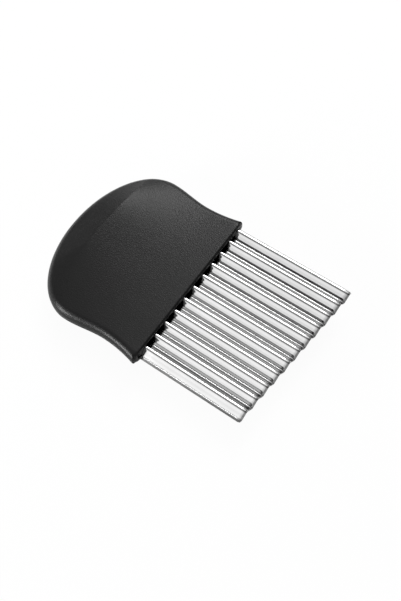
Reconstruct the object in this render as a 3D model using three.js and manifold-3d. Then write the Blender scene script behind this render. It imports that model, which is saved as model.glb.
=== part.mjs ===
// Crinkle cutter: a corrugated stainless blade clamped between two moulded handle halves.
// Millimetres, +Z up. The pieces are built with the mouth of the handle at Y = 0, the middle of
// the blade sheet at Z = 0, the palm end towards -Y and the cutting edge towards +Y.
import * as THREE from 'three';
import { mergeVertices } from 'three/addons/utils/BufferGeometryUtils.js';
import Module from 'manifold-3d';

// Blade: one strip of sheet, ground on one edge and then corrugated across its width
const BLADE_WIDTH = 75.6;
const LONG_SIDE = 58.7; // mouth to cutting edge along the -X side
const SHORT_SIDE = 51.1; // the same along the +X side, so the cutting edge is slanted
const SHEET = 0.9;
const WAVE_PITCH = 7.0;
const WAVE_HEIGHT = 3.0; // crest to valley at the middle of the sheet
const INSIDE_BEND = 0.55; // inside radius of every bend
const GRIND_LENGTH = 0.9; // bevel on both faces, behind the cutting edge
const EDGE_THICKNESS = 0.15;
const SHOULDER_DEPTH = 2.2; // full width of blade held inside the mouth
const TANG_LENGTH = 18;
const TANG_WIDTH = 66.5;

// Handle seen from above
const HANDLE_LENGTH = 64.7;
const SIDE_OVERHANG = 4.15; // mouth beyond each side of the blade
const MOUTH_CORNER = 1.4; // corner radius at each end of the mouth
const WAIST_FROM_MOUTH = 18;
const WAIST_DEPTH = 2.55; // each side draws in this far behind the mouth
const BULGE_DEPTH = 2.15; // and swells this far again before the palm end
const PALM_END = 26.3; // length of the elliptic end

// Handle seen from the side, as heights above the middle of the sheet
const RIM_HEIGHT = 4.0; // at the mouth and along the sides
const CREASE_HEIGHT = 10.6; // at the straight crease across the palm
const CREASE_FROM_END = 16.25;
const SWEEP_POWER = 1.8; // how late the face sweeps up from the mouth to the crease
const FACET_ANGLE = THREE.MathUtils.degToRad(22); // fall of the flat behind the crease
const CREASE_SHARP_END = 6; // X up to which the crease is sharp, from the -X side
const CREASE_SOFT_END = 26; // X from which it is fully soft
const CREASE_SOFTNESS = 6; // height over which the soft end blends face and facet
const CROWN_POWER = 2.6; // how late the crowned face falls from its middle to the sides
const RIM_ROUND = 3.4; // radius along the sides and round the palm end
const LIP_ROUND = 0.9; // small radius round the mouth

// Handle inside
const WALL = 1.6;
const MOUTH_WALL = 3.5;
const REAR_COMB_THICKNESS = 2;
const REAR_COMB_INSET = 1.6; // tang left behind the rear comb
const RIB_THICKNESS = 1.6;
const RIB_SPACING = 18;
const POST_DIAMETER = 4;
const SOCKET_WALL = 1.6;
const TANG_POST_FROM_MOUTH = 9.2;
const TANG_POST_WAVES = [1.75, 3.75]; // places of the tang posts across the width, in waves
const TANG_SOCKET_DEPTH = 1.0;
const PALM_POST_FROM_END = 18;
const PALM_POST_ACROSS = 9;
const PALM_SOCKET_DEPTH = 4;
const FIT = 0.3; // clearance between pieces

// Fineness of the facets
const BEND_STEPS = 4;
const OUTER_FINENESS = { columns: 32, faceSteps: 10, palmSteps: 11 };
const INNER_FINENESS = { columns: 18, faceSteps: 6, palmSteps: 7 };
const CORNER_STEPS = 4;
const OUTLINE_STEPS = 48;
const INSET_STEPS = 30;
const ROUND_SIDES = 16;

const wasm = await Module();
wasm.setup();

// Sizes that follow from the driving ones
const HALF_PITCH = WAVE_PITCH / 2;
const BEND = INSIDE_BEND + SHEET / 2;
const BEND_RISE = WAVE_HEIGHT - 2 * BEND;
const BEND_APART = Math.hypot(HALF_PITCH, BEND_RISE);
const FLANK = Math.atan2(BEND_RISE, HALF_PITCH) + Math.asin((2 * BEND) / BEND_APART);
const CREASE_Y = CREASE_FROM_END - HANDLE_LENGTH;
const BULGE_Y = PALM_END - HANDLE_LENGTH;
const MOUTH_HALF = BLADE_WIDTH / 2 + SIDE_OVERHANG;
const WAIST_HALF = MOUTH_HALF - WAIST_DEPTH;
const BULGE_HALF = WAIST_HALF + BULGE_DEPTH;
const SHEET_GAP = SHEET / 2 + FIT;
const BLADE_SLOT = BLADE_WIDTH / 2 + SHEET_GAP;
const TANG_SLOT = TANG_WIDTH / 2 + SHEET_GAP;
const CLAMP_LEVEL = WAVE_HEIGHT / 2 + SHEET_GAP;
const SOCKET_DIAMETER = POST_DIAMETER + 2 * FIT;
const SIDE_ROUND = Math.min(RIM_ROUND, RIM_HEIGHT - FIT); // the radius that the height of the sides allows
const WORK_INSET = (WALL + LIP_ROUND) / 2; // the inner work runs into the skin up to here

const { smoothstep, lerp, clamp } = THREE.MathUtils;

// Turns a closed geometry into a solid that can be joined and cut.
function solid(geometry) {
  geometry.deleteAttribute('normal');
  geometry.deleteAttribute('uv');
  const merged = mergeVertices(geometry);
  const corners = merged.index.array;
  const kept = [];
  for (let i = 0; i < corners.length; i += 3) {
    const [a, b, c] = corners.slice(i, i + 3);
    if (a !== b && b !== c && c !== a) kept.push(a, b, c);
  }
  const mesh = new wasm.Mesh({
    numProp: 3,
    vertProperties: new Float32Array(merged.attributes.position.array),
    triVerts: new Uint32Array(kept),
  });
  return new wasm.Manifold(mesh);
}

// Turns a finished solid back into a geometry for a mesh.
function geometryOf(body) {
  const mesh = body.getMesh();
  const geometry = new THREE.BufferGeometry();
  geometry.setAttribute('position', new THREE.BufferAttribute(mesh.vertProperties, 3));
  geometry.setIndex(new THREE.BufferAttribute(mesh.triVerts, 1));
  return geometry;
}

// Lofts a solid through sections along Y, each an upper and a lower line of points from left to right.
function loft(sections) {
  const positions = [];
  const quad = (a, b, c, d) => {
    for (const p of [a, b, c, a, c, d]) positions.push(p.x, p.y, p.z);
  };
  const last = sections[0].upper.length - 1;
  for (let i = 0; i + 1 < sections.length; i++) {
    const front = sections[i];
    const back = sections[i + 1];
    for (let j = 0; j < last; j++) {
      quad(front.upper[j], back.upper[j], back.upper[j + 1], front.upper[j + 1]);
      quad(front.lower[j], front.lower[j + 1], back.lower[j + 1], back.lower[j]);
    }
    quad(front.upper[0], front.lower[0], back.lower[0], back.upper[0]);
    quad(front.upper[last], back.upper[last], back.lower[last], front.lower[last]);
  }
  const front = sections[0];
  const back = sections[sections.length - 1];
  for (let j = 0; j < last; j++) {
    quad(front.upper[j], front.upper[j + 1], front.lower[j + 1], front.lower[j]);
    quad(back.upper[j], back.lower[j], back.lower[j + 1], back.upper[j + 1]);
  }
  const geometry = new THREE.BufferGeometry();
  geometry.setAttribute('position', new THREE.Float32BufferAttribute(positions, 3));
  return solid(geometry);
}

// Upright cylinder from one level to another.
function upright(x, y, [low, high], diameter) {
  const geometry = new THREE.CylinderGeometry(diameter / 2, diameter / 2, high - low, ROUND_SIDES);
  geometry.rotateX(Math.PI / 2);
  geometry.translate(x, y, (low + high) / 2);
  return solid(geometry);
}

// Block between two values of X, of Y and of Z.
function block([x0, x1], [y0, y1], [z0, z1]) {
  const geometry = new THREE.BoxGeometry(x1 - x0, y1 - y0, z1 - z0);
  geometry.translate((x0 + x1) / 2, (y0 + y1) / 2, (z0 + z1) / 2);
  return solid(geometry);
}

// Middle line of the corrugated sheet as (x, z, normal x, normal z): round bends and straight flanks.
function sheetLine(reach) {
  const line = [];
  const bends = Math.ceil(reach / HALF_PITCH) + 1;
  for (let m = -bends; m < bends; m++) {
    const side = m % 2 === 0 ? -1 : 1;
    for (let k = 0; k <= BEND_STEPS; k++) {
      const turn = FLANK * ((2 * k) / BEND_STEPS - 1);
      const x = (m + 0.5) * HALF_PITCH + BEND * Math.sin(turn);
      const z = side * (WAVE_HEIGHT / 2 - BEND + BEND * Math.cos(turn));
      line.push(new THREE.Vector4(x, z, side * Math.sin(turn), Math.cos(turn)));
    }
  }
  return line;
}

// Keeps the stretch of a line between -limit and limit in X, with a point put on each limit.
function trim(line, limit) {
  const inside = line.filter((p) => Math.abs(p.x) < limit);
  const first = line.indexOf(inside[0]);
  const last = line.indexOf(inside[inside.length - 1]);
  const cross = (a, b, x) => a.clone().lerp(b, (x - a.x) / (b.x - a.x));
  const start = cross(line[first - 1], line[first], -limit);
  const end = cross(line[last], line[last + 1], limit);
  return [start, ...inside, end];
}

// Distance from the mouth to the cutting edge at one place across the blade.
function edgeAt(x) {
  return lerp(LONG_SIDE, SHORT_SIDE, x / BLADE_WIDTH + 0.5);
}

// Places of the tang posts and their holes along +X; the same places along -X carry the sockets.
function tangPosts() {
  return TANG_POST_WAVES.map((waves) => new THREE.Vector2(waves * WAVE_PITCH, -TANG_POST_FROM_MOUTH));
}

// Corrugated blade: full-width sheet, bevelled slanted edge, narrower tang pierced for the posts.
function bladeGeometry() {
  const line = trim(sheetLine(BLADE_WIDTH / 2), BLADE_WIDTH / 2);
  const shifted = (thickness, place) => (p) => {
    const offset = thickness / 2;
    return new THREE.Vector3(p.x + offset * p.z, place(p.x), p.y + offset * p.w);
  };
  const section = (thickness, place) => ({
    upper: line.map(shifted(thickness, place)),
    lower: line.map(shifted(-thickness, place)),
  });
  let blade = loft([
    section(EDGE_THICKNESS, edgeAt),
    section(SHEET, (x) => edgeAt(x) - GRIND_LENGTH),
    section(SHEET, () => -TANG_LENGTH),
  ]);
  const level = [-CLAMP_LEVEL, CLAMP_LEVEL];
  const behindShoulder = [-2 * TANG_LENGTH, -SHOULDER_DEPTH];
  for (const side of [-1, 1]) {
    const beside = [(side * TANG_WIDTH) / 2, side * BLADE_WIDTH].sort((a, b) => a - b);
    blade = blade.subtract(block(beside, behindShoulder, level));
    for (const post of tangPosts()) {
      blade = blade.subtract(upright(side * post.x, post.y, level, SOCKET_DIAMETER));
    }
  }
  return geometryOf(blade);
}

// How much a quarter-round of some radius, ending at the mouth, has taken off at a station.
function roundedOff(y, radius) {
  const along = clamp(y + radius, 0, radius);
  return radius - Math.sqrt(radius * radius - along * along);
}

// Half width of the handle at a station: flared mouth, waist, bulge and elliptic palm end.
function halfWidth(y) {
  if (y > -WAIST_FROM_MOUTH) {
    const flare = 1 + y / WAIST_FROM_MOUTH;
    return WAIST_HALF + WAIST_DEPTH * flare * flare - roundedOff(y, MOUTH_CORNER);
  }
  if (y > BULGE_Y) return lerp(BULGE_HALF, WAIST_HALF, smoothstep(y, BULGE_Y, -WAIST_FROM_MOUTH));
  const along = Math.min(1, (BULGE_Y - y) / PALM_END);
  return BULGE_HALF * Math.sqrt(1 - along * along);
}

// Stations round the corner of the mouth, up to where its side begins.
function mouthStations() {
  const list = [];
  for (let k = 0; k < CORNER_STEPS; k++) {
    const turn = (Math.PI / 2) * (k / CORNER_STEPS);
    list.push(-MOUTH_CORNER * (1 - Math.cos(turn)));
  }
  return list;
}

// Outline of one side of the handle, from ahead of the mouth round to the middle of the palm end.
function outlineOfSide() {
  const line = [new THREE.Vector2(halfWidth(0), WAIST_FROM_MOUTH)];
  for (const y of mouthStations()) line.push(new THREE.Vector2(halfWidth(y), y));
  for (let k = 0; k <= OUTLINE_STEPS; k++) {
    const y = lerp(-MOUTH_CORNER, BULGE_Y, k / OUTLINE_STEPS);
    line.push(new THREE.Vector2(halfWidth(y), y));
  }
  for (let k = 1; k <= OUTLINE_STEPS; k++) {
    const turn = (Math.PI / 2) * (k / OUTLINE_STEPS);
    line.push(new THREE.Vector2(BULGE_HALF * Math.cos(turn), BULGE_Y - PALM_END * Math.sin(turn)));
  }
  return line;
}

const OUTLINE = outlineOfSide();

// Distance from a point of the plan to the outline.
function edgeDistance(x, y) {
  const point = new THREE.Vector3(Math.abs(x), y, 0);
  const nearest = new THREE.Vector3();
  const span = new THREE.Line3();
  let least = Infinity;
  for (let i = 0; i + 1 < OUTLINE.length; i++) {
    span.start.set(OUTLINE[i].x, OUTLINE[i].y, 0);
    span.end.set(OUTLINE[i + 1].x, OUTLINE[i + 1].y, 0);
    span.closestPointToPoint(point, true, nearest);
    least = Math.min(least, nearest.distanceTo(point));
  }
  return least;
}

// Half width at a station of the outline drawn in by an inset.
function insetWidth(y, inset) {
  let inner = 0;
  let outer = halfWidth(y);
  if (inset === 0) return outer;
  for (let step = 0; step < INSET_STEPS; step++) {
    const middle = (inner + outer) / 2;
    if (edgeDistance(middle, y) > inset) inner = middle;
    else outer = middle;
  }
  return inner;
}

// Height of the face: the sweep up to the crease and the facet behind it, crowned from side to side.
function faceHeight(x, y) {
  const sweep = lerp(RIM_HEIGHT, CREASE_HEIGHT, Math.max(0, y / CREASE_Y) ** SWEEP_POWER);
  const facet = CREASE_HEIGHT - (CREASE_Y - y) * Math.tan(FACET_ANGLE);
  const blend = CREASE_SOFTNESS * smoothstep(x, CREASE_SHARP_END, CREASE_SOFT_END);
  const overlap = Math.max(0, blend - Math.abs(sweep - facet));
  const softening = blend > 0 ? (overlap * overlap) / (4 * blend) : 0;
  const profile = Math.min(sweep, facet) - softening;
  const across = Math.min(1, Math.abs(x) / Math.max(FIT, halfWidth(y)));
  return lerp(profile, RIM_HEIGHT, across ** CROWN_POWER);
}

// Height of the outer skin, or of a skin drawn in from it all round by an inset.
function skinHeight(x, y, inset) {
  const within = Math.max(0, edgeDistance(x, y) - inset);
  const radius = Math.max(0, SIDE_ROUND - inset);
  return faceHeight(x, y) - inset - roundedOff(-within, radius);
}

// One cross-section of the handle half, with its upright sides, from the skin down to a floor.
function padSection(y, inset, floor, columns) {
  const half = insetWidth(y, inset);
  const upper = [new THREE.Vector3(-half, y, 0)];
  for (let j = 0; j <= columns; j++) {
    const x = half * Math.sin((Math.PI / 2) * ((2 * j) / columns - 1));
    upper.push(new THREE.Vector3(x, y, skinHeight(x, y, inset)));
  }
  upper.push(new THREE.Vector3(half, y, 0));
  const lower = upper.map((p) => new THREE.Vector3(p.x, y, floor));
  return { upper, lower };
}

// Stations of the skin behind the mouth, close together where the palm end turns down.
function stations(start, inset, { faceSteps, palmSteps }) {
  const end = inset - HANDLE_LENGTH;
  const list = [];
  for (let k = 0; k < faceSteps; k++) list.push(lerp(start, CREASE_Y, k / faceSteps));
  for (let k = 0; k <= palmSteps; k++) {
    list.push(lerp(CREASE_Y, end, Math.sin((Math.PI / 2) * (k / palmSteps))));
  }
  return list;
}

// Solid under the skin of the handle half, with the edge of the mouth rounded over.
function padWithLip() {
  const places = [...mouthStations(), ...stations(-MOUTH_CORNER, 0, OUTER_FINENESS)];
  return loft(places.map((y) => padSection(y, roundedOff(y, LIP_ROUND), 0, OUTER_FINENESS.columns)));
}

// Solid under a skin drawn in by an inset, starting square at a station.
function innerPad(start, inset, floor) {
  const places = stations(start, inset, INNER_FINENESS);
  return loft(places.map((y) => padSection(y, inset, floor, INNER_FINENESS.columns)));
}

// Slab between two stations, bounded above and below by lines of (x, z).
function slab(front, back, upperLine, lowerLine) {
  const at = (y) => (p) => new THREE.Vector3(p.x, y, p.y);
  const section = (y) => ({ upper: upperLine.map(at(y)), lower: lowerLine.map(at(y)) });
  return loft([section(front), section(back)]);
}

// Upper face of the blade with its clearance, as wide as the slot that it bounds.
function clearLine(limit) {
  const raised = (p) => new THREE.Vector2(p.x + SHEET_GAP * p.z, p.y + SHEET_GAP * p.w);
  return trim(sheetLine(limit + WAVE_PITCH).map(raised), limit);
}

// Comb that fills the valleys of the blade from above.
function comb(front, back, limit) {
  const line = clearLine(limit);
  const top = line.map((p) => new THREE.Vector2(p.x, CREASE_HEIGHT));
  return slab(front, back, top, line);
}

// Room under the same wavy line, for the blade and the comb of the other half.
function slot(front, back, limit) {
  const line = clearLine(limit);
  const bottom = line.map((p) => new THREE.Vector2(p.x, -CREASE_HEIGHT));
  return slab(front, back, line, bottom);
}

// Posts of a half at +x, each with a socket at -x, the level of the socket's rim and its depth.
function pegs() {
  const list = tangPosts().map(({ x, y }) => ({ x, y, rim: CLAMP_LEVEL, depth: TANG_SOCKET_DEPTH }));
  const palmY = PALM_POST_FROM_END - HANDLE_LENGTH;
  list.push({ x: PALM_POST_ACROSS, y: palmY, rim: FIT / 2, depth: PALM_SOCKET_DEPTH });
  return list;
}

// Combs that hold the tang, ribs of the palm, posts and socket bosses, all under the skin.
function innerWork() {
  const combBack = REAR_COMB_INSET - TANG_LENGTH;
  const combFront = combBack + REAR_COMB_THICKNESS;
  let work = comb(0, -SHOULDER_DEPTH, BLADE_SLOT);
  work = work.add(comb(-SHOULDER_DEPTH, -MOUTH_WALL, TANG_SLOT));
  work = work.add(comb(combFront, combBack, TANG_SLOT));
  for (const place of [-1, 0, 1]) {
    const middle = place * RIB_SPACING;
    const across = [middle - RIB_THICKNESS / 2, middle + RIB_THICKNESS / 2];
    const along = [-HANDLE_LENGTH, -TANG_LENGTH - FIT];
    work = work.add(block(across, along, [FIT / 2, CREASE_HEIGHT]));
  }
  for (const { x, y, rim, depth } of pegs()) {
    const tip = FIT - rim - depth;
    work = work.add(upright(x, y, [tip, CREASE_HEIGHT], POST_DIAMETER));
    work = work.add(upright(-x, y, [rim, CREASE_HEIGHT], SOCKET_DIAMETER + 2 * SOCKET_WALL));
  }
  return work.intersect(innerPad(0, WORK_INSET, -CREASE_HEIGHT));
}

// One handle half: hollow skin, open at the parting plane, with the wavy mouth and the inner work.
function handleHalfGeometry() {
  let half = padWithLip().subtract(innerPad(-MOUTH_WALL, WALL, 0));
  half = half.subtract(slot(SHOULDER_DEPTH, -SHOULDER_DEPTH - FIT, BLADE_SLOT));
  half = half.subtract(slot(-SHOULDER_DEPTH, -TANG_LENGTH - FIT, TANG_SLOT));
  half = half.add(innerWork());
  for (const { x, y, rim, depth } of pegs()) {
    half = half.subtract(upright(-x, y, [0, rim + depth], SOCKET_DIAMETER));
  }
  return geometryOf(half);
}

const plastic = new THREE.MeshStandardMaterial({ color: 0x262626, roughness: 0.55, metalness: 0 });
const steel = new THREE.MeshStandardMaterial({ color: 0xc9cbcc, roughness: 0.12, metalness: 1 });

function piece(name, geometry, material) {
  const mesh = new THREE.Mesh(geometry, material);
  mesh.name = name;
  return mesh;
}

// Both halves are the same moulding: turned half a turn about Y, the wave falls on itself.
const halfGeometry = handleHalfGeometry();
const turnedGeometry = halfGeometry.clone().scale(-1, 1, -1);

const cutter = new THREE.Group();
cutter.add(piece('handle_upper_half', halfGeometry, plastic));
cutter.add(piece('handle_lower_half', turnedGeometry, plastic));
cutter.add(piece('corrugated_blade', bladeGeometry(), steel));

// The origin lies under the middle of the whole cutter, at its lowest level.
cutter.position.set(0, (HANDLE_LENGTH - LONG_SIDE) / 2, CREASE_HEIGHT);

export default cutter;
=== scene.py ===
# Crinkle cutter: fine surfaces, materials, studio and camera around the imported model.
import math

import bmesh
import bpy
import numpy as np
from mathutils import Matrix, Vector


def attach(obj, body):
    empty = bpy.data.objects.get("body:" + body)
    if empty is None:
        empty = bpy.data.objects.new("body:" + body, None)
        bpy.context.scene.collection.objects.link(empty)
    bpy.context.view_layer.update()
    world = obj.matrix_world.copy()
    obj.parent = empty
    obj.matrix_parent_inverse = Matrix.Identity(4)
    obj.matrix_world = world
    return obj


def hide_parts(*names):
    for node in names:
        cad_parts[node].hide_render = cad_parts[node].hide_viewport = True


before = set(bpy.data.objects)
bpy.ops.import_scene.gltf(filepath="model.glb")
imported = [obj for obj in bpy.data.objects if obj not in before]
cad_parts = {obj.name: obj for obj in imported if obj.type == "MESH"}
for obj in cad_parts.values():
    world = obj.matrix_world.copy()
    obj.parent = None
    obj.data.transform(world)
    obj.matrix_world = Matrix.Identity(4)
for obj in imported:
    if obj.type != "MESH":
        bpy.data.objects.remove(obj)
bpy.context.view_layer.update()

MM = 0.001

# Sizes of the part, in millimetres, with the mouth at Y 0 and the middle of the sheet at Z 0
BLADE_WIDTH = 75.6
LONG_SIDE = 58.7
SHORT_SIDE = 51.1
SHEET = 0.9
WAVE_PITCH = 7.0
WAVE_HEIGHT = 3.0
WAVE_STRAIGHTNESS = 0.07  # share of the third harmonic, which straightens the flanks
WAVE_LEAN = -0.04  # share of the second one, which makes one flank a little steeper
WAVE_PHASE = 0.25  # of a pitch, at the middle of the blade
GRIND_LENGTH = 0.9
EDGE_THICKNESS = 0.15
SHOULDER_DEPTH = 2.2
TANG_LENGTH = 18.0
TANG_WIDTH = 66.5
HANDLE_LENGTH = 64.7
SIDE_OVERHANG = 4.15
MOUTH_CORNER = 1.4
WAIST_FROM_MOUTH = 18.0
WAIST_DEPTH = 2.55
BULGE_DEPTH = 2.15
PALM_END = 26.3
RIM_HEIGHT = 4.0
CREASE_HEIGHT = 10.6
CREASE_FROM_END = 16.25
SWEEP_POWER = 1.8
FACET_ANGLE = math.radians(22)
CREASE_SHARP_END = 6.0
CREASE_SOFT_END = 26.0
CREASE_SOFTNESS = 6.0
CREASE_EDGE = 0.12  # rounding that the sharp stretch keeps
CROWN_POWER = 2.6
RIM_ROUND = 3.4
LIP_ROUND = 0.9
FIT = 0.3
SEAM_DEPTH = 0.16  # groove where the halves meet
SEAM_RISE = 0.16

CREASE_Y = CREASE_FROM_END - HANDLE_LENGTH
BULGE_Y = PALM_END - HANDLE_LENGTH
MOUTH_HALF = BLADE_WIDTH / 2 + SIDE_OVERHANG
WAIST_HALF = MOUTH_HALF - WAIST_DEPTH
BULGE_HALF = WAIST_HALF + BULGE_DEPTH
SHEET_GAP = SHEET / 2 + FIT
BLADE_SLOT = BLADE_WIDTH / 2 + SHEET_GAP
TANG_SLOT = TANG_WIDTH / 2 + SHEET_GAP
SLOT_STEP = -SHOULDER_DEPTH - FIT
SLOT_END = -TANG_LENGTH - FIT
OFFSET = Vector((0, (HANDLE_LENGTH - LONG_SIDE) / 2, CREASE_HEIGHT))

# Fineness of the surfaces
BLADE_WAVE_STEPS = 56
BLADE_ROWS = 24
GRIND_ROWS = (0, 0.04, 0.3, 0.6, GRIND_LENGTH - 0.04, GRIND_LENGTH)  # back from the edge
SLOT_WAVE_STEPS = 40
OUTLINE_CORNER_STEPS = 16
OUTLINE_STEPS = 150
HANDLE_COLUMNS = 150
LIP_STATIONS = 14
FACE_STATIONS = 56
CREASE_STATIONS = 24
CREASE_REACH = 1.5  # of the close stations, on each side of the crease
PALM_STATIONS = 60
INSET_HALVINGS = 40
WELD = 0.002
SLIVER = 0.001
SAME_PLACE = 1e-6
WAVE_SAMPLES = 721  # over one wave, to measure its height
BLADE_SHARP = math.radians(28)  # edges that turn by more stay sharp
HANDLE_SHARP = math.radians(32)

# Material slots of the blade
SHEET_FACE, GROUND_EDGE, SHEARED_SIDE = range(3)

# Camera, from a fit to the waves of the blade and the outline in the photograph, in millimetres
CAMERA_AZIMUTH = math.radians(128.287)
CAMERA_ELEVATION = math.radians(62.193)
CAMERA_ROLL = math.radians(-3.68)
CAMERA_AIM = Vector((2.2925, 7.0884, 1.9504))
CAMERA_DISTANCE = 355.229
FOCAL_PIXELS = 820.14
PHOTO_HEIGHT = 601
SENSOR = 36

# Brightness of the studio by tilt from overhead, in degrees, with the side to -X negative
SKY_BY_TILT = (
    (-90, 0.5), (-60, 0.5), (-48, 0.7), (-38, 1.6), (-28, 2.4), (-21, 1.6), (-14, 0.9), (-4, 1.0),
    (4, 0.85), (10, 0.9), (15, 0.4), (19, 0.0), (25, 0.0), (30, 1.0), (36, 0.4), (41, 0.0),
    (50, 0.03), (55, 1.0), (60, 1.05), (68, 1.2), (76, 1.3), (90, 1.45),
)
# Its share by the Y of the direction, from -1 behind the palm end to 1 ahead of the cutting edge
SKY_BY_Y = ((-1, 0.25), (-0.7, 0.36), (-0.38, 1.0), (0, 1.0), (0.26, 0.35), (0.6, 0.2), (1, 0.3))

# Soft lamps: direction, width and height in metres, power in watts
LAMP_DISTANCE = 1.0
LAMPS = {
    "key": ((-0.71, -0.18, 0.68), 0.32, 0.44, 4.6),  # far end of the crease, waves of the blade
    "side": ((0.84, -0.5, 0.2), 0.26, 0.26, 9.0),  # rounded near side
    "edge": ((-0.64, -0.66, 0.38), 0.3, 0.3, 1.7),  # facet behind the crease
}

FLOOR_HALF = 3.0  # in metres
FLOOR_GREY = 0.9
FLOOR_WHITE_SEEN = 0.95  # share of plain white that the camera sees
FLOOR_WHITE_MIRRORED = 0.1  # and that reflections see

NOISE_LOW, NOISE_HIGH = 0.3, 0.7  # most values of a noise lie between these


def smoothstep(value, low, high):
    t = np.clip((value - low) / (high - low), 0, 1)
    return t * t * (3 - 2 * t)


def quarter_turn(steps):
    return [math.pi / 2 * k / steps for k in range(steps + 1)]


# Welds loose faces of millimetre points into one object in the frame, with its own smooth shading.
class Faces:
    def __init__(self):
        self.points = []
        self.faces = []
        self.slots = []

    def face(self, corners, slot=0):
        start = len(self.points)
        self.points.extend(tuple(map(float, c)) for c in corners)
        self.faces.append(range(start, len(self.points)))
        self.slots.append(slot)

    def strip(self, first, second, slot=0):
        for a, b, c, d in zip(first[:-1], first[1:], second[1:], second[:-1]):
            self.face((a, b, c, d), slot)

    def piece(self, name, sharp, turned=False):
        mesh = bpy.data.meshes.new(name)
        side = -1 if turned else 1
        place = [Vector((side * x, y, side * z)) + OFFSET for x, y, z in self.points]
        mesh.from_pydata([p * MM for p in place], [], [list(f) for f in self.faces])
        mesh.polygons.foreach_set("material_index", self.slots)
        bm = bmesh.new()
        bm.from_mesh(mesh)
        bmesh.ops.remove_doubles(bm, verts=bm.verts, dist=WELD * MM)
        bmesh.ops.dissolve_degenerate(bm, edges=bm.edges, dist=SLIVER * MM)
        bmesh.ops.recalc_face_normals(bm, faces=bm.faces)
        bm.to_mesh(mesh)
        bm.free()
        mesh.shade_smooth()
        mesh.set_sharp_from_angle(angle=sharp)
        return in_scene(name, mesh)


def in_scene(name, data):
    obj = bpy.data.objects.new(name, data)
    bpy.context.scene.collection.objects.link(obj)
    return obj


def wave(turn):
    return np.cos(turn) + WAVE_STRAIGHTNESS * np.cos(3 * turn) + WAVE_LEAN * np.sin(2 * turn)


def wave_slope(turn):
    third = -3 * WAVE_STRAIGHTNESS * np.sin(3 * turn)
    second = 2 * WAVE_LEAN * np.cos(2 * turn)
    return -np.sin(turn) + third + second


# Middle line of the sheet as rows of (x, z, normal x, normal z), with points at the asked places.
def sheet_line(limit, steps, places=()):
    count = math.ceil(2 * limit / WAVE_PITCH * steps)
    x = np.unique(np.concatenate([np.linspace(-limit, limit, count + 1), places]))
    turn = 2 * np.pi * (x / WAVE_PITCH + WAVE_PHASE)
    scale = WAVE_HEIGHT / np.ptp(wave(np.linspace(0, 2 * np.pi, WAVE_SAMPLES)))
    slope = scale * 2 * np.pi / WAVE_PITCH * wave_slope(turn)
    length = np.hypot(1, slope)
    return list(zip(x, scale * wave(turn), -slope / length, 1 / length))


def edge_at(x):
    return LONG_SIDE + (SHORT_SIDE - LONG_SIDE) * (x / BLADE_WIDTH + 0.5)


# Blade: corrugated sheet, thinned by the bevel towards its slanted edge, with shoulders and a tang.
def blade():
    half = BLADE_WIDTH / 2
    tang = TANG_WIDTH / 2
    line = sheet_line(half, BLADE_WAVE_STEPS, (-tang, tang))
    made = Faces()

    def row(points, thickness, place):
        out = thickness / 2
        upper = [(x + out * nx, place(x), z + out * nz) for x, z, nx, nz in points]
        lower = [(x - out * nx, place(x), z - out * nz) for x, z, nx, nz in points]
        return upper, lower

    def loft(rows, slots):
        for (u0, l0), (u1, l1), slot in zip(rows[:-1], rows[1:], slots):
            made.strip(u0, u1, slot)
            made.strip(l0, l1, slot)
            for end in (0, -1):
                made.face((u0[end], u1[end], l1[end], l0[end]), SHEARED_SIDE)

    def ground(back):
        return row(
            line,
            EDGE_THICKNESS + (SHEET - EDGE_THICKNESS) * min(1, back / GRIND_LENGTH),
            lambda x: edge_at(x) - back,
        )

    # plain sheet, a share of the way from the ground strip to the shoulders
    def plain(share):
        def place(x):
            return (edge_at(x) - GRIND_LENGTH) * (1 - share) - SHOULDER_DEPTH * share

        return row(line, SHEET, place)

    rows = [ground(back) for back in GRIND_ROWS]
    rows += [plain(k / BLADE_ROWS) for k in range(1, BLADE_ROWS + 1)]
    loft(rows, [GROUND_EDGE] * (len(GRIND_ROWS) - 1) + [SHEET_FACE] * BLADE_ROWS)
    made.strip(*rows[0], GROUND_EDGE)

    for side in (-1, 1):
        shoulder = [p for p in line if p[0] * side > tang - SAME_PLACE]
        made.strip(*row(shoulder, SHEET, lambda x: -SHOULDER_DEPTH))
    inside = [p for p in line if abs(p[0]) < tang + SAME_PLACE]
    back = [row(inside, SHEET, lambda x, y=y: y) for y in (-SHOULDER_DEPTH, -TANG_LENGTH)]
    loft(back, [SHEET_FACE])
    made.strip(*back[1])
    return made.piece("blade_corrugated", BLADE_SHARP)


# How much a quarter-round of some radius, ending at the mouth, has taken off at a station.
def rounded_off(y, radius):
    along = np.clip(y + radius, 0, radius)
    return radius - np.sqrt(radius * radius - along * along)


def half_width(y):
    flare = 1 + y / WAIST_FROM_MOUTH
    if y > -WAIST_FROM_MOUTH:
        return WAIST_HALF + WAIST_DEPTH * flare * flare - float(rounded_off(y, MOUTH_CORNER))
    if y > BULGE_Y:
        swell = float(smoothstep(y, BULGE_Y, -WAIST_FROM_MOUTH))
        return BULGE_HALF + (WAIST_HALF - BULGE_HALF) * swell
    along = min(1.0, (BULGE_Y - y) / PALM_END)
    return BULGE_HALF * math.sqrt(1 - along * along)


# Places along a quarter-round at the mouth, without its inner end.
def mouth_round(steps):
    return [-MOUTH_CORNER * (1 - math.cos(turn)) for turn in quarter_turn(steps)[:-1]]


# Outline of one side, from ahead of the mouth round to the middle of the palm end.
def outline():
    step = (BULGE_Y + MOUTH_CORNER) / OUTLINE_STEPS
    side = [-MOUTH_CORNER + step * k for k in range(OUTLINE_STEPS + 1)]
    line = [(half_width(0), WAIST_FROM_MOUTH)]
    line += [(half_width(y), y) for y in mouth_round(OUTLINE_CORNER_STEPS) + side]
    for turn in quarter_turn(OUTLINE_STEPS)[1:]:
        line.append((BULGE_HALF * math.cos(turn), BULGE_Y - PALM_END * math.sin(turn)))
    return np.array(line)


OUTLINE = outline()


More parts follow.
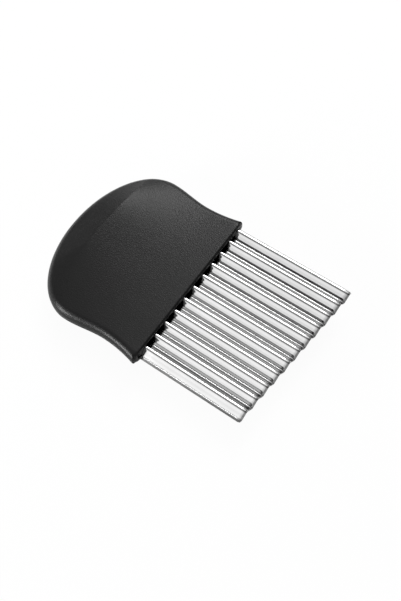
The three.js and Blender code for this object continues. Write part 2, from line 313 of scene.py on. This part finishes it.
# Distance from points of the plan to the outline.
def edge_distance(x, y):
    points = np.stack([np.abs(x), np.broadcast_to(y, np.shape(x))], -1)[:, None, :]
    start, span = OUTLINE[:-1], np.diff(OUTLINE, axis=0)
    share = ((points - start) * span).sum(-1) / (span * span).sum(-1)
    nearest = start + np.clip(share, 0, 1)[..., None] * span
    return np.sqrt(((points - nearest) ** 2).sum(-1)).min(-1)


# Half width at a station of the outline moved inwards, found by halving.
def inset_width(y, inset):
    inner, outer = 0.0, half_width(y)
    if inset <= 0:
        return outer
    for _ in range(INSET_HALVINGS):
        middle = (inner + outer) / 2
        if edge_distance(np.array([middle]), y)[0] > inset:
            inner = middle
        else:
            outer = middle
    return inner


# Height of the face: the sweep up to the crease and the facet behind it, crowned from side to side.
def face_height(x, y):
    sweep = RIM_HEIGHT + (CREASE_HEIGHT - RIM_HEIGHT) * max(0.0, y / CREASE_Y) ** SWEEP_POWER
    facet = CREASE_HEIGHT - (CREASE_Y - y) * math.tan(FACET_ANGLE)
    blend = CREASE_EDGE + CREASE_SOFTNESS * smoothstep(x, CREASE_SHARP_END, CREASE_SOFT_END)
    overlap = np.maximum(0, blend - abs(sweep - facet))
    profile = min(sweep, facet) - overlap * overlap / (4 * blend)
    across = np.clip(np.abs(x) / max(FIT, half_width(y)), 0, 1)
    return profile + (RIM_HEIGHT - profile) * across**CROWN_POWER


def skin_height(x, y, inset):
    within = np.maximum(0, edge_distance(x, y) - inset)
    radius = max(0.0, RIM_ROUND - inset)
    return face_height(x, y) - inset - rounded_off(-within, radius)


# Stations along the handle: fine round the lip, at the crease and where the palm end turns down.
def stations():
    near, far = CREASE_Y + CREASE_REACH, CREASE_Y - CREASE_REACH
    face_step = (near + MOUTH_CORNER) / FACE_STATIONS
    face = [-MOUTH_CORNER + face_step * k for k in range(FACE_STATIONS)]
    crease = [near - 2 * CREASE_REACH * k / CREASE_STATIONS for k in range(CREASE_STATIONS)]
    palm = [far - (far + HANDLE_LENGTH) * math.sin(turn) for turn in quarter_turn(PALM_STATIONS)]
    return mouth_round(LIP_STATIONS) + face + crease + palm


# Skin with the seam groove round its rim.
# Gives its front row and the bottom of the groove on both sides.
def skin(made):
    grid, left, right = [], [], []
    for y in stations():
        inset = float(rounded_off(y, LIP_ROUND))
        half = inset_width(y, inset)
        x = half * np.sin(np.pi / 2 * np.linspace(-1, 1, HANDLE_COLUMNS + 1))
        face = [(a, y, c) for a, c in zip(x, skin_height(x, y, inset))]
        grid.append([(-half, y, SEAM_RISE), *face, (half, y, SEAM_RISE)])
        inner = max(0.0, half - SEAM_DEPTH)
        back = max(y, SEAM_DEPTH - HANDLE_LENGTH)
        left.append((-inner, back, 0))
        right.append((inner, back, 0))
    for front, back in zip(grid[:-1], grid[1:]):
        made.strip(front, back)
    made.strip([row[0] for row in grid], left)
    made.strip([row[-1] for row in grid], right)
    return grid[0], left, right


# Upper line of the slot across the waves, ending square at its limits.
def slot_line(limit):
    line = sheet_line(limit + WAVE_PITCH, SLOT_WAVE_STEPS)
    raised = [(x + SHEET_GAP * nx, z + SHEET_GAP * nz) for x, z, nx, nz in line]
    first, last = (np.interp(end, *zip(*raised)) for end in (-limit, limit))
    kept = [p for p in raised if abs(p[0]) < limit]
    return [(-limit, first), *kept, (limit, last)]


# Slot for the blade and, behind a step, for its tang.
def slot(made, wide, narrow):
    for line, front, back in ((wide, 0, SLOT_STEP), (narrow, SLOT_STEP, SLOT_END)):
        made.strip([(x, front, z) for x, z in line], [(x, back, z) for x, z in line])
        for x, z in (line[0], line[-1]):
            made.face([(x, front, 0), (x, back, 0), (x, back, z), (x, front, z)])
    for side in (-1, 1):
        beside = [p for p in wide if p[0] * side > TANG_SLOT]
        beside = [narrow[-1], *beside] if side > 0 else [*beside, narrow[0]]
        step = [(beside[0][0], 0.0), *beside, (beside[-1][0], 0.0)]
        made.face([(x, SLOT_STEP, z) for x, z in step])
    # end wall, a face for each half wave above or below the middle
    run = [(narrow[0][0], 0.0)]
    for (x0, z0), (x1, z1) in zip(narrow[:-1], narrow[1:]):
        run.append((x0, z0))
        if z0 * z1 < 0:
            cross = (x0 + (x1 - x0) * z0 / (z0 - z1), 0.0)
            made.face([(x, SLOT_END, z) for x, z in [*run, cross]])
            run = [cross]
    made.face([(x, SLOT_END, z) for x, z in [*run, narrow[-1], (narrow[-1][0], 0.0)]])


# One handle half: skin, wavy mouth, slot and the flat where the halves meet.
def handle_half(name, turned):
    made = Faces()
    front, left, right = skin(made)
    wide, narrow = slot_line(BLADE_SLOT), slot_line(TANG_SLOT)
    waves = [(x, 0, z) for x, z in reversed(wide)]
    made.face([*front, right[0], (BLADE_SLOT, 0, 0), *waves, (-BLADE_SLOT, 0, 0), left[0]])
    slot(made, wide, narrow)
    notch = [(BLADE_SLOT, 0), (BLADE_SLOT, SLOT_STEP)]
    notch += [(TANG_SLOT, SLOT_STEP), (TANG_SLOT, SLOT_END)]
    flat = [*left, *reversed(right)]
    flat += [(x, y, 0) for x, y in notch] + [(-x, y, 0) for x, y in reversed(notch)]
    made.face(flat)
    return made.piece(name, HANDLE_SHARP, turned)


# Node helpers
def fresh_material(name):
    material = bpy.data.materials.new(name)
    material.use_nodes = True
    tree = material.node_tree
    tree.nodes.clear()
    shader = tree.nodes.new("ShaderNodeBsdfPrincipled")
    output = tree.nodes.new("ShaderNodeOutputMaterial")
    tree.links.new(shader.outputs["BSDF"], output.inputs["Surface"])
    return material, tree, shader, output


def noise(tree, scale, detail, stretch=None):
    place = tree.nodes.new("ShaderNodeTexCoord").outputs["Object"]
    if stretch:
        mapping = tree.nodes.new("ShaderNodeMapping")
        mapping.inputs["Scale"].default_value = stretch
        tree.links.new(place, mapping.inputs["Vector"])
        place = mapping.outputs["Vector"]
    texture = tree.nodes.new("ShaderNodeTexNoise")
    texture.inputs["Scale"].default_value = scale
    texture.inputs["Detail"].default_value = detail
    tree.links.new(place, texture.inputs["Vector"])
    return texture.outputs["Fac"]


def map_range(tree, value, source, target=(0, 1)):
    node = tree.nodes.new("ShaderNodeMapRange")
    for name, limit in zip(("From Min", "From Max", "To Min", "To Max"), (*source, *target)):
        node.inputs[name].default_value = limit
    tree.links.new(value, node.inputs["Value"])
    return node.outputs["Result"]


def ramp(tree, value, stops):
    node = tree.nodes.new("ShaderNodeValToRGB")
    while len(node.color_ramp.elements) < len(stops):
        node.color_ramp.elements.new(0.5)
    for element, (place, grey) in zip(node.color_ramp.elements, stops):
        element.position = place
        element.color = (grey, grey, grey, 1)
    tree.links.new(value, node.inputs["Fac"])
    return node.outputs["Color"]


# Ramp over a value whose stops are given in its own units.
def graded(tree, value, stops):
    first, last = stops[0][0], stops[-1][0]
    share = map_range(tree, value, (first, last))
    return ramp(tree, share, [((place - first) / (last - first), grey) for place, grey in stops])


def math_node(tree, operation, *values):
    node = tree.nodes.new("ShaderNodeMath")
    node.operation = operation
    for socket, value in zip(node.inputs, values):
        if isinstance(value, float):
            socket.default_value = value
        else:
            tree.links.new(value, socket)
    return node.outputs["Value"]


# Lets a noise vary the grey and the roughness of a material between low and high values.
def vary(tree, shader, value, greys, roughness):
    stops = list(zip((NOISE_LOW, NOISE_HIGH), greys))
    tree.links.new(ramp(tree, value, stops), shader.inputs["Base Color"])
    rough = map_range(tree, value, (NOISE_LOW, NOISE_HIGH), roughness)
    tree.links.new(rough, shader.inputs["Roughness"])


def bump(tree, shader, value, strength, depth):
    node = tree.nodes.new("ShaderNodeBump")
    node.inputs["Strength"].default_value = strength
    node.inputs["Distance"].default_value = depth * MM
    tree.links.new(value, node.inputs["Height"])
    tree.links.new(node.outputs["Normal"], shader.inputs["Normal"])


# Black moulded plastic with a fine spark-eroded grain.
def plastic():
    material, tree, shader, _ = fresh_material("handle_plastic")
    cloud = noise(tree, scale=45, detail=3)
    grain = noise(tree, scale=1900, detail=2)
    vary(tree, shader, cloud, greys=(0.0095, 0.012), roughness=(0.29, 0.33))
    shader.inputs["Specular IOR Level"].default_value = 0.17
    bump(tree, shader, grain, strength=0.7, depth=0.15)
    return material


# Polished stainless sheet with faint drawn lines along the waves.
def steel():
    material, tree, shader, _ = fresh_material("blade_steel")
    lines = noise(tree, scale=1, detail=3, stretch=(5200, 60, 5200))
    cloud = noise(tree, scale=90, detail=2)
    shader.inputs["Metallic"].default_value = 1.0
    vary(tree, shader, cloud, greys=(0.66, 0.69), roughness=(0.06, 0.1))
    bump(tree, shader, lines, strength=0.05, depth=0.02)
    return material


# The ground strip of the edge: the same steel with coarser marks square to the edge.
def ground_steel():
    material, tree, shader, _ = fresh_material("blade_edge_steel")
    lines = noise(tree, scale=1, detail=4, stretch=(9000, 300, 9000))
    shader.inputs["Metallic"].default_value = 1.0
    vary(tree, shader, lines, greys=(0.60, 0.68), roughness=(0.12, 0.2))
    bump(tree, shader, lines, strength=0.1, depth=0.03)
    return material


# The sheared sides of the sheet: rougher than its rolled faces, and near-black as painted shade for
# the dark line along the cut edges.
def side_steel_painted_shade():
    material, tree, shader, _ = fresh_material("blade_side_steel_painted_shade")
    lines = noise(tree, scale=1, detail=3, stretch=(300, 300, 7000))
    shader.inputs["Metallic"].default_value = 1.0
    # near-black greys: painted shade in place of the dark line the cut edges show
    vary(tree, shader, lines, greys=(0.05, 0.09), roughness=(0.35, 0.5))
    bump(tree, shader, lines, strength=0.2, depth=0.03)
    return material


def dress(obj, node, slot, *materials):
    for material in materials:
        obj.data.materials.append(material)
    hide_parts(node)
    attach(obj, "root")


black = plastic()
dress(handle_half("grip_upper", False), "handle_upper_half", "handle", black)
dress(handle_half("grip_lower", True), "handle_lower_half", "handle", black)
dress(blade(), "corrugated_blade", "blade", steel(), ground_steel(), side_steel_painted_shade())


# Pale floor under the part: white to the camera, faintly so in reflections.
# The share of the camera's view that stays unlit by itself keeps the soft shadow.
def floor():
    mesh = bpy.data.meshes.new("floor")
    corners = [(x * FLOOR_HALF, y * FLOOR_HALF, 0) for x, y in ((-1, -1), (1, -1), (1, 1), (-1, 1))]
    mesh.from_pydata(corners, [], [(0, 1, 2, 3)])
    material, tree, shader, output = fresh_material("floor_paper")
    shader.inputs["Base Color"].default_value = (FLOOR_GREY, FLOOR_GREY, FLOOR_GREY, 1)
    shader.inputs["Roughness"].default_value = 0.9
    shader.inputs["Specular IOR Level"].default_value = 0.1
    glow = tree.nodes.new("ShaderNodeEmission")
    glow.inputs["Color"].default_value = (1, 1, 1, 1)
    glow.inputs["Strength"].default_value = 1.0
    path = tree.nodes.new("ShaderNodeLightPath").outputs
    seen = math_node(tree, "MULTIPLY", path["Is Camera Ray"], FLOOR_WHITE_SEEN)
    share = math_node(tree, "MULTIPLY_ADD", path["Is Glossy Ray"], FLOOR_WHITE_MIRRORED, seen)
    mix = tree.nodes.new("ShaderNodeMixShader")
    tree.links.new(share, mix.inputs["Fac"])
    tree.links.new(shader.outputs["BSDF"], mix.inputs[1])
    tree.links.new(glow.outputs["Emission"], mix.inputs[2])
    tree.links.new(mix.outputs["Shader"], output.inputs["Surface"])
    mesh.materials.append(material)
    in_scene("floor", mesh)


# Studio round the part: brightest up to -X, two dark gaps and a low bright panel to +X,
# dim ahead and behind.
def studio():
    world = bpy.data.worlds.new("studio")
    bpy.context.scene.world = world
    world.use_nodes = True
    tree = world.node_tree
    tree.nodes.clear()
    axes = tree.nodes.new("ShaderNodeSeparateXYZ")
    way = tree.nodes.new("ShaderNodeTexCoord").outputs["Generated"]
    tree.links.new(way, axes.inputs["Vector"])
    tilt = math_node(tree, "ARCTAN2", axes.outputs["X"], axes.outputs["Z"])
    sky = graded(tree, tilt, [(math.radians(degrees), level) for degrees, level in SKY_BY_TILT])
    depth = graded(tree, axes.outputs["Y"], SKY_BY_Y)
    product = tree.nodes.new("ShaderNodeMix")
    product.data_type = "RGBA"
    product.blend_type = "MULTIPLY"
    product.inputs["Factor"].default_value = 1.0
    tree.links.new(sky, product.inputs["A"])
    tree.links.new(depth, product.inputs["B"])
    white = tree.nodes.new("ShaderNodeMix")
    white.data_type = "RGBA"
    white.inputs["B"].default_value = (1, 1, 1, 1)
    path = tree.nodes.new("ShaderNodeLightPath")
    tree.links.new(path.outputs["Is Camera Ray"], white.inputs["Factor"])
    tree.links.new(product.outputs["Result"], white.inputs["A"])
    back = tree.nodes.new("ShaderNodeBackground")
    back.inputs["Strength"].default_value = 1.0
    tree.links.new(white.outputs["Result"], back.inputs["Color"])
    output = tree.nodes.new("ShaderNodeOutputWorld")
    tree.links.new(back.outputs["Background"], output.inputs["Surface"])


def lamp(name, way, width, height, power):
    data = bpy.data.lights.new(name, "AREA")
    data.shape = "RECTANGLE"
    data.size = width
    data.size_y = height
    data.energy = power
    obj = in_scene(name, data)
    way = Vector(way).normalized()
    obj.location = way * LAMP_DISTANCE
    obj.rotation_mode = "QUATERNION"
    obj.rotation_quaternion = way.to_track_quat("Z", "Y")


# Camera at the photograph's angle, moved half a pixel up and to the left of the fitted place.
def camera():
    level = math.cos(CAMERA_ELEVATION)
    back = Vector((
        math.sin(CAMERA_AZIMUTH) * level,
        -math.cos(CAMERA_AZIMUTH) * level,
        math.sin(CAMERA_ELEVATION),
    ))
    flat = Vector((math.cos(CAMERA_AZIMUTH), math.sin(CAMERA_AZIMUTH), 0))
    steep = back.cross(flat)
    right = math.cos(CAMERA_ROLL) * flat + math.sin(CAMERA_ROLL) * steep
    up = math.cos(CAMERA_ROLL) * steep - math.sin(CAMERA_ROLL) * flat
    half_pixel = CAMERA_DISTANCE / FOCAL_PIXELS / 2
    place = CAMERA_AIM + CAMERA_DISTANCE * back + half_pixel * (up - right) + OFFSET
    data = bpy.data.cameras.new("camera")
    data.sensor_width = SENSOR
    data.lens = FOCAL_PIXELS * SENSOR / PHOTO_HEIGHT
    data.clip_start = 0.01
    data.clip_end = 50
    obj = in_scene("camera", data)
    obj.rotation_mode = "QUATERNION"
    obj.rotation_quaternion = Matrix((right, up, back)).transposed().to_quaternion()
    obj.location = place * MM
    bpy.context.scene.camera = obj


floor()
studio()
for name, settings in LAMPS.items():
    lamp(name, *settings)
camera()
bpy.context.scene.view_settings.view_transform = "Standard"

bpy.context.view_layer.update()
